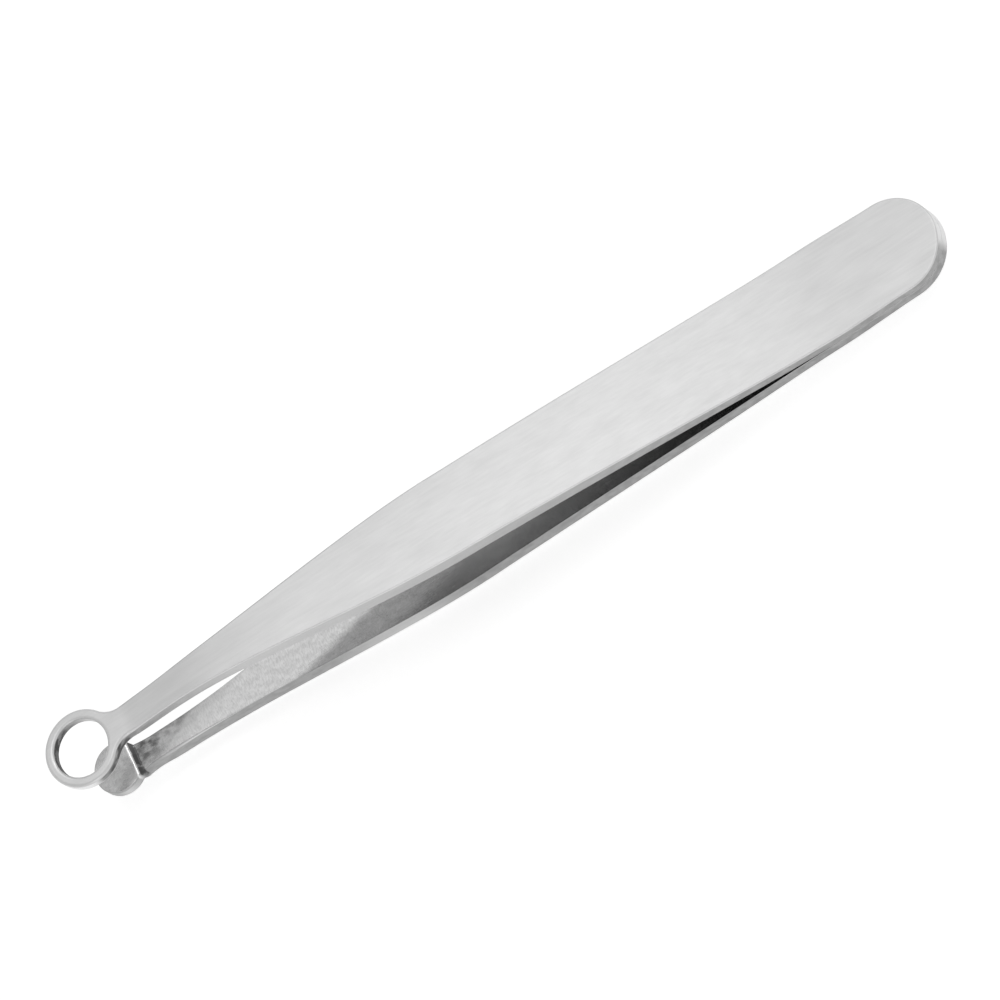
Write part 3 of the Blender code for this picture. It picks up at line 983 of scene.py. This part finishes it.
# %% Tie each arm to its bodies
BLEND_REACH = 11.0 * MM


def tie(arm, body, pivot):
    """Blends an arm from the tail body to its own body, round its hinge."""
    start = (pivot.x - BLEND_REACH, 0.0, pivot.z)
    end = (pivot.x + BLEND_REACH, 0.0, pivot.z)
    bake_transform(arm, "tail", body, start=start, end=end)
    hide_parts(body + "_root", body)


tie(ring_arm, "ring_arm", upper_pivot)
tie(cutter_arm, "cutter_arm", lower_pivot)
print("Arms bend over", round(2 * BLEND_REACH / MM, 1), "mm round their hinges")

# %% [markdown]
# ## A plain studio
# The photograph has a pure white ground. A white floor that is only lit would need so much light that the
# steel burns out. Light Path solves that: for camera and glossy rays the floor and the world are pale by
# themselves, and a share of the floor's colour still comes from the light on it, so the trimmer keeps its
# soft shadow.

# %% The floor
FLOOR_SIZE = 3.0
FLOOR_COLOUR = (0.9, 0.9, 0.9, 1.0)
FLOOR_ROUGHNESS = 0.9
FLOOR_GLOW = 0.45
FLOOR_CAMERA_GLOW = 0.15
PURE_WHITE = (1.0, 1.0, 1.0, 1.0)


def floor_material():
    """White that glows partly by itself for the camera and in reflections."""
    material = bpy.data.materials.new("white_floor")
    material.use_nodes = True
    tree = material.node_tree
    shader = tree.nodes["Principled BSDF"]
    shader.inputs["Base Color"].default_value = FLOOR_COLOUR
    shader.inputs["Roughness"].default_value = FLOOR_ROUGHNESS
    shader.inputs["Specular IOR Level"].default_value = 0.0
    shader.inputs["Emission Color"].default_value = PURE_WHITE
    rays = tree.nodes.new("ShaderNodeLightPath").outputs
    seen = compute(tree, "MAXIMUM", rays["Is Camera Ray"], rays["Is Glossy Ray"])
    seen = compute(tree, "MAXIMUM", seen, rays["Is Transmission Ray"])
    glow = compute(tree, "MULTIPLY", rays["Is Camera Ray"], FLOOR_CAMERA_GLOW)
    plug(tree, shader.inputs["Emission Strength"], compute(tree, "MULTIPLY_ADD", seen, FLOOR_GLOW, glow))
    return material


bpy.ops.mesh.primitive_plane_add(size=FLOOR_SIZE)
floor = bpy.context.object
floor.name = "floor"
floor.data.materials.append(floor_material())
print("Floor is", FLOOR_SIZE, "m wide")

# %% The world
WORLD_LIGHT = 0.5
MIRRORED_SHARE = 0.5
world = bpy.data.worlds.new("studio")
bpy.context.scene.world = world
world.use_nodes = True
tree = world.node_tree
tree.nodes.clear()
rays = tree.nodes.new("ShaderNodeLightPath").outputs
mirrored = compute(tree, "MAXIMUM", rays["Is Glossy Ray"], rays["Is Transmission Ray"])
seen = compute(tree, "MAXIMUM", rays["Is Camera Ray"], compute(tree, "MULTIPLY", mirrored, MIRRORED_SHARE))
lighting = tree.nodes.new("ShaderNodeBackground")
lighting.inputs["Strength"].default_value = WORLD_LIGHT
backdrop = tree.nodes.new("ShaderNodeBackground")
backdrop.inputs["Color"].default_value = PURE_WHITE
mix = tree.nodes.new("ShaderNodeMixShader")
plug(tree, mix.inputs["Fac"], seen)
plug(tree, mix.inputs[1], lighting.outputs[0])
plug(tree, mix.inputs[2], backdrop.outputs[0])
plug(tree, tree.nodes.new("ShaderNodeOutputWorld").inputs["Surface"], mix.outputs[0])
print("World has", len(tree.nodes), "nodes")

# %% The lamps
LAMPS = {
    "overhead_softbox": {"place": (-0.16, -0.3, 0.84), "size": 0.75, "brightness": 0.52},
    "tail_strip": {"place": (-0.42, -0.31, 0.47), "size": 0.16, "brightness": 2.7},
    "front_strip": {"place": (0.2, 0.67, 0.34), "size": 0.3, "brightness": 0.8},
    "corner_strip": {"place": (-0.4, 0.5, 0.4), "size": 0.15, "brightness": 1.5},
}


def softbox(name, place, size, brightness):
    """A square lamp that faces the trimmer. At brightness 1 its face looks white."""
    light = bpy.data.lights.new(name, "AREA")
    light.shape = "SQUARE"
    light.size = size
    light.energy = brightness * math.pi * size**2
    lamp = bpy.data.objects.new(name, light)
    lamp.location = place
    lamp.rotation_euler = Vector(place).to_track_quat("Z", "Y").to_euler()
    bpy.context.scene.collection.objects.link(lamp)
    return light.energy


for name, lamp in LAMPS.items():
    print(name, "gives", round(softbox(name, **lamp), 2), "W")

# %% [markdown]
# ## The camera
# The photograph looks down on the trimmer from above its tail. The directions below were found by matching
# the drawn outline to the photograph. A long lens far away keeps the tail and the tip at nearly the same
# scale.

# %% Camera
VIEW_RIGHT = Vector((-0.814, 0.3863, -0.4339))
VIEW_FORWARD = Vector((0.2501, -0.4412, -0.8619))
VIEW_DISTANCE = 1000.0 * MM
VIEW_TARGET = 47.5 * MM
VIEW_LENS = 403.4
SENSOR_WIDTH = 36.0
AIM_RIGHT = 0.099 * MM
AIM_UP = 0.441 * MM

forward = VIEW_FORWARD.normalized()
right = (VIEW_RIGHT - forward * VIEW_RIGHT.dot(forward)).normalized()
up = right.cross(forward)
turn = Matrix((right, up, -forward)).transposed().to_4x4()
lens = bpy.data.cameras.new("camera")
lens.lens = VIEW_LENS
lens.sensor_width = SENSOR_WIDTH
camera = bpy.data.objects.new("camera", lens)
bpy.context.scene.collection.objects.link(camera)
stand = Vector((VIEW_TARGET, 0.0, 0.0)) - forward * VIEW_DISTANCE + right * AIM_RIGHT + up * AIM_UP
cradle = Matrix.Translation(shift) @ Matrix.Rotation(TILT, 4, "Y")
camera.matrix_world = cradle @ Matrix.Translation(stand) @ turn
bpy.context.scene.camera = camera
bpy.context.scene.view_settings.view_transform = "Standard"
print("Camera stands at", [round(value, 4) for value in camera.matrix_world.translation])
